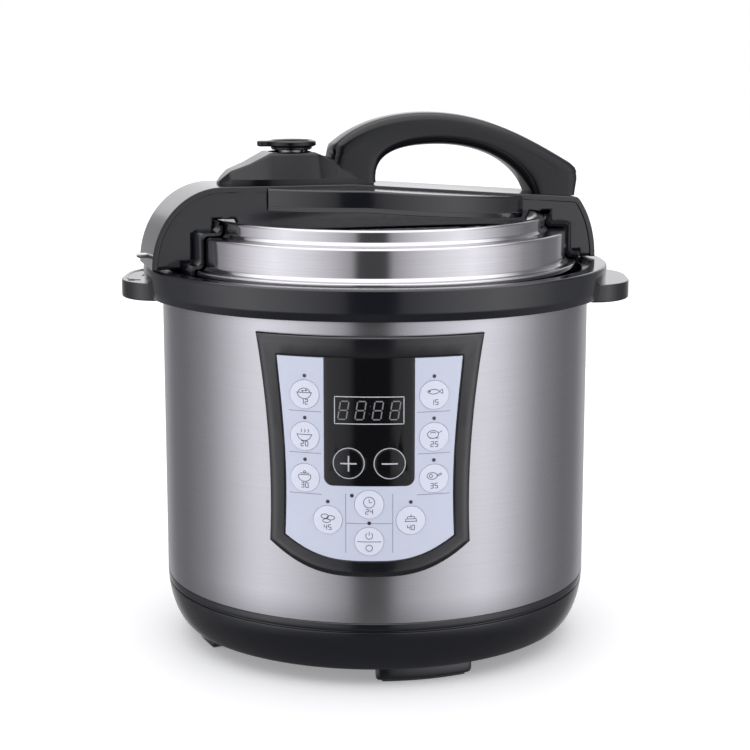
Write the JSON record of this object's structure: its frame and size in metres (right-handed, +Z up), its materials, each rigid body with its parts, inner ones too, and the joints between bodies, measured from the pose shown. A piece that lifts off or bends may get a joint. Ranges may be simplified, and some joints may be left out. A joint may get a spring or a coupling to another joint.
{
  "type": "electric pressure cooker",
  "caption": "Round electric pressure cooker with a bayonet lid, a bridge handle over the lid, side lugs and a keypad with a clock display on the front.",
  "frame": {"origin": "on the floor, on the vessel's axis", "axes": "+Z up, the control panel faces -Y, the side lugs lie along X"},
  "size_m": [0.327, 0.298, 0.334],
  "materials": {
    "black_gloss_plastic": "polished moulding, slightly bluish black",
    "black_satin_plastic": "fine spark-eroded grain",
    "panel_black": "high gloss black",
    "membrane_silver": "silvery lavender film, satin",
    "key_film": "pale domed key, satin",
    "key_black": "black key",
    "display_dark": "tinted window",
    "brushed_stainless": "brushed round the body",
    "polished_stainless": "bright polished",
    "pressed_aluminium": "pressed and washed",
    "cast_aluminium": "cast, machined top",
    "dark_steel": "heat-stained sheath",
    "spring_steel": "bright drawn wire",
    "zinc_screw": "zinc plated",
    "silicone": "translucent white silicone",
    "black_rubber": "matt",
    "red_silicone": "red silicone",
    "circuit_board": "solder mask",
    "component_grey": "moulded parts",
    "ceramic_white": "glazed ceramic",
    "smoke_plastic": "translucent cup",
    "lamp_red": "small dark lamp"
  },
  "bodies": {
    "cooker": {"base_shell": "black_gloss_plastic", "feet": "black_satin_plastic", "foot_pads": "black_rubber", "bottom_cover": "black_satin_plastic", "bottom_screws": "zinc_screw", "mains_inlet": "black_satin_plastic", "inlet_pins": "zinc_screw", "outer_shell": "brushed_stainless", "collar": "black_gloss_plastic", "pressure_housing": "pressed_aluminium", "housing_screws": "zinc_screw", "heating_plate": "cast_aluminium", "heating_tube": "dark_steel", "plate_spring": "spring_steel", "sensor_spring": "spring_steel", "pressure_switch": "component_grey", "thermal_fuse": "ceramic_white", "power_board": "circuit_board", "board_parts": "component_grey", "panel_bezel": "panel_black", "panel_membrane": "membrane_silver", "display_window": "panel_black", "display_module": "display_dark", "panel_lamps": "lamp_red", "control_board": "circuit_board", "key_switches": "component_grey", "cup_holder": "black_satin_plastic"},
    "sensor": {"temperature_sensor": "cast_aluminium"},
    "pot": {"inner_pot": "pressed_aluminium"},
    "cup": {"condensate_cup": "smoke_plastic"},
    "seal": {"sealing_ring": "silicone", "ring_rack": "spring_steel"},
    "lid": {"lid_shell": "polished_stainless", "lid_bolts": "zinc_screw", "exhaust_pipe": "polished_stainless", "exhaust_nut": "zinc_screw", "steam_filter": "polished_stainless", "float_gasket": "silicone", "bridge": "black_gloss_plastic", "handle_base": "black_gloss_plastic", "handle_cover": "black_gloss_plastic", "handle_screws": "zinc_screw"},
    "float": {"float_pin": "red_silicone"},
    "lock": {"lock_pin": "zinc_screw"},
    "weight": {"valve_weight": "polished_stainless"},
    "knob": {"valve_knob": "black_gloss_plastic"},
    "key_plus": {"key_plus": "key_black"},
    "key_minus": {"key_minus": "key_black"},
    "key_left_top": {"key_left_top": "key_film"},
    "key_left_mid": {"key_left_mid": "key_film"},
    "key_left_low": {"key_left_low": "key_film"},
    "key_right_top": {"key_right_top": "key_film"},
    "key_right_mid": {"key_right_mid": "key_film"},
    "key_right_low": {"key_right_low": "key_film"},
    "key_inner_left": {"key_inner_left": "key_film"},
    "key_inner_right": {"key_inner_right": "key_film"},
    "key_timer": {"key_timer": "key_film"},
    "key_cancel": {"key_cancel": "key_film"}
  },
  "joints": [
    {"name": "lid_lift", "type": "slide", "parent": "cooker", "child": "seal", "axis": [0, 0, 1], "range_m": [0, 0.4]},
    {"name": "lid_turn", "type": "hinge", "parent": "seal", "child": "lid", "pos_m": [0, 0, 0.25], "axis": [0, 0, 1], "range_deg": [-16.5, 0]},
    {"name": "pot_lift", "type": "slide", "parent": "cooker", "child": "pot", "axis": [0, 0, 1], "range_m": [0, 0.2]},
    {"name": "cup_pull", "type": "slide", "parent": "cooker", "child": "cup", "axis": [0, 1, 0], "range_m": [0, 0.04]},
    {"name": "sensor_travel", "type": "slide", "parent": "cooker", "child": "sensor", "axis": [0, 0, 1], "range_m": [-0.0015, 0], "stiffness_N_per_m": 1500, "springref_m": 0.002, "deforming": ["sensor_spring"]},
    {"name": "float_rise", "type": "slide", "parent": "lid", "child": "float", "axis": [0, 0, 1], "range_m": [0, 0.004]},
    {"name": "lock_push", "type": "slide", "parent": "lid", "child": "lock", "axis": [0.9588, 0.284, 0], "range_m": [0, 0.004], "stiffness_N_per_m": 400, "springref_m": -0.002},
    {"name": "valve_lift", "type": "slide", "parent": "lid", "child": "weight", "axis": [0, 0, 1], "range_m": [0, 0.03]},
    {"name": "valve_turn", "type": "hinge", "parent": "weight", "child": "knob", "pos_m": [-0.05178, -0.01534, 0.31], "axis": [0, 0, 1], "range_deg": [0, 35]},
    {"name": "key_plus_press", "type": "slide", "parent": "cooker", "child": "key_plus", "axis": [0.0859, 0.9963, 0], "range_m": [0, 0.0005], "stiffness_N_per_m": 2000, "springref_m": -0.0005},
    {"name": "key_minus_press", "type": "slide", "parent": "cooker", "child": "key_minus", "axis": [-0.0859, 0.9963, 0], "range_m": [0, 0.0005], "stiffness_N_per_m": 2000, "springref_m": -0.0005},
    {"name": "key_left_top_press", "type": "slide", "parent": "cooker", "child": "key_left_top", "axis": [0.2707, 0.9627, 0], "range_m": [0, 0.0005], "stiffness_N_per_m": 2000, "springref_m": -0.0005},
    {"name": "key_left_mid_press", "type": "slide", "parent": "cooker", "child": "key_left_mid", "axis": [0.2707, 0.9627, 0], "range_m": [0, 0.0005], "stiffness_N_per_m": 2000, "springref_m": -0.0005},
    {"name": "key_left_low_press", "type": "slide", "parent": "cooker", "child": "key_left_low", "axis": [0.2707, 0.9627, 0], "range_m": [0, 0.0005], "stiffness_N_per_m": 2000, "springref_m": -0.0005},
    {"name": "key_right_top_press", "type": "slide", "parent": "cooker", "child": "key_right_top", "axis": [-0.2707, 0.9627, 0], "range_m": [0, 0.0005], "stiffness_N_per_m": 2000, "springref_m": -0.0005},
    {"name": "key_right_mid_press", "type": "slide", "parent": "cooker", "child": "key_right_mid", "axis": [-0.2707, 0.9627, 0], "range_m": [0, 0.0005], "stiffness_N_per_m": 2000, "springref_m": -0.0005},
    {"name": "key_right_low_press", "type": "slide", "parent": "cooker", "child": "key_right_low", "axis": [-0.2707, 0.9627, 0], "range_m": [0, 0.0005], "stiffness_N_per_m": 2000, "springref_m": -0.0005},
    {"name": "key_inner_left_press", "type": "slide", "parent": "cooker", "child": "key_inner_left", "axis": [0.1747, 0.9846, 0], "range_m": [0, 0.0005], "stiffness_N_per_m": 2000, "springref_m": -0.0005},
    {"name": "key_inner_right_press", "type": "slide", "parent": "cooker", "child": "key_inner_right", "axis": [-0.1747, 0.9846, 0], "range_m": [0, 0.0005], "stiffness_N_per_m": 2000, "springref_m": -0.0005},
    {"name": "key_timer_press", "type": "slide", "parent": "cooker", "child": "key_timer", "axis": [0, 1, 0], "range_m": [0, 0.0005], "stiffness_N_per_m": 2000, "springref_m": -0.0005},
    {"name": "key_cancel_press", "type": "slide", "parent": "cooker", "child": "key_cancel", "axis": [0, 1, 0], "range_m": [0, 0.0005], "stiffness_N_per_m": 2000, "springref_m": -0.0005}
  ],
  "couplings": [
    {"joint": "pot_lift", "follows": "lid_lift", "ratio": 0.5}
  ]
}
